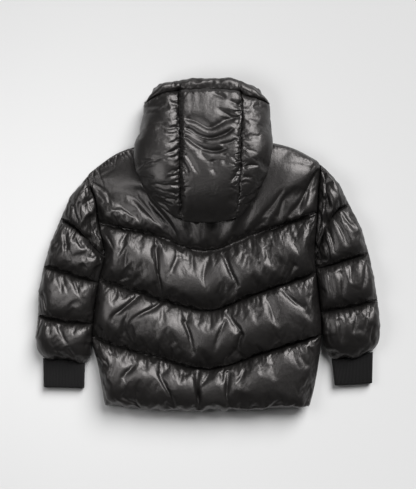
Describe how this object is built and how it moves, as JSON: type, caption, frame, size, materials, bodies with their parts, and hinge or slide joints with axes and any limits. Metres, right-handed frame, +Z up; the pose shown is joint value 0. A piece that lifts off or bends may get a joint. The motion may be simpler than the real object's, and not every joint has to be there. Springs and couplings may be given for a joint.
{
  "type": "puffer jacket",
  "caption": "Child's hooded puffer jacket with chevron quilting and rib-knit cuffs, laid flat on its front with the hood folded back.",
  "frame": {"origin": "centre of the bounding box on the surface that the jacket lies on", "axes": "+X towards the wearer's right sleeve, +Y from the hem to the hood, +Z up from the surface"},
  "size_m": [0.6944, 0.6641, 0.106],
  "materials": {
    "nylon": "glossy black woven nylon over soft padding",
    "rib_knit": "matt black rib knit",
    "zip_tape": "black woven zip tape with a moulded chain"
  },
  "bodies": {
    "root": {"back": "nylon", "front_left": "nylon", "front_right": "nylon", "zip": "zip_tape", "sleeve_left": "nylon", "sleeve_right": "nylon", "cuff_left": "rib_knit", "cuff_right": "rib_knit", "hood_left": "nylon", "hood_centre": "nylon", "hood_right": "nylon", "hood_brim": "nylon"}
  },
  "joints": []
}
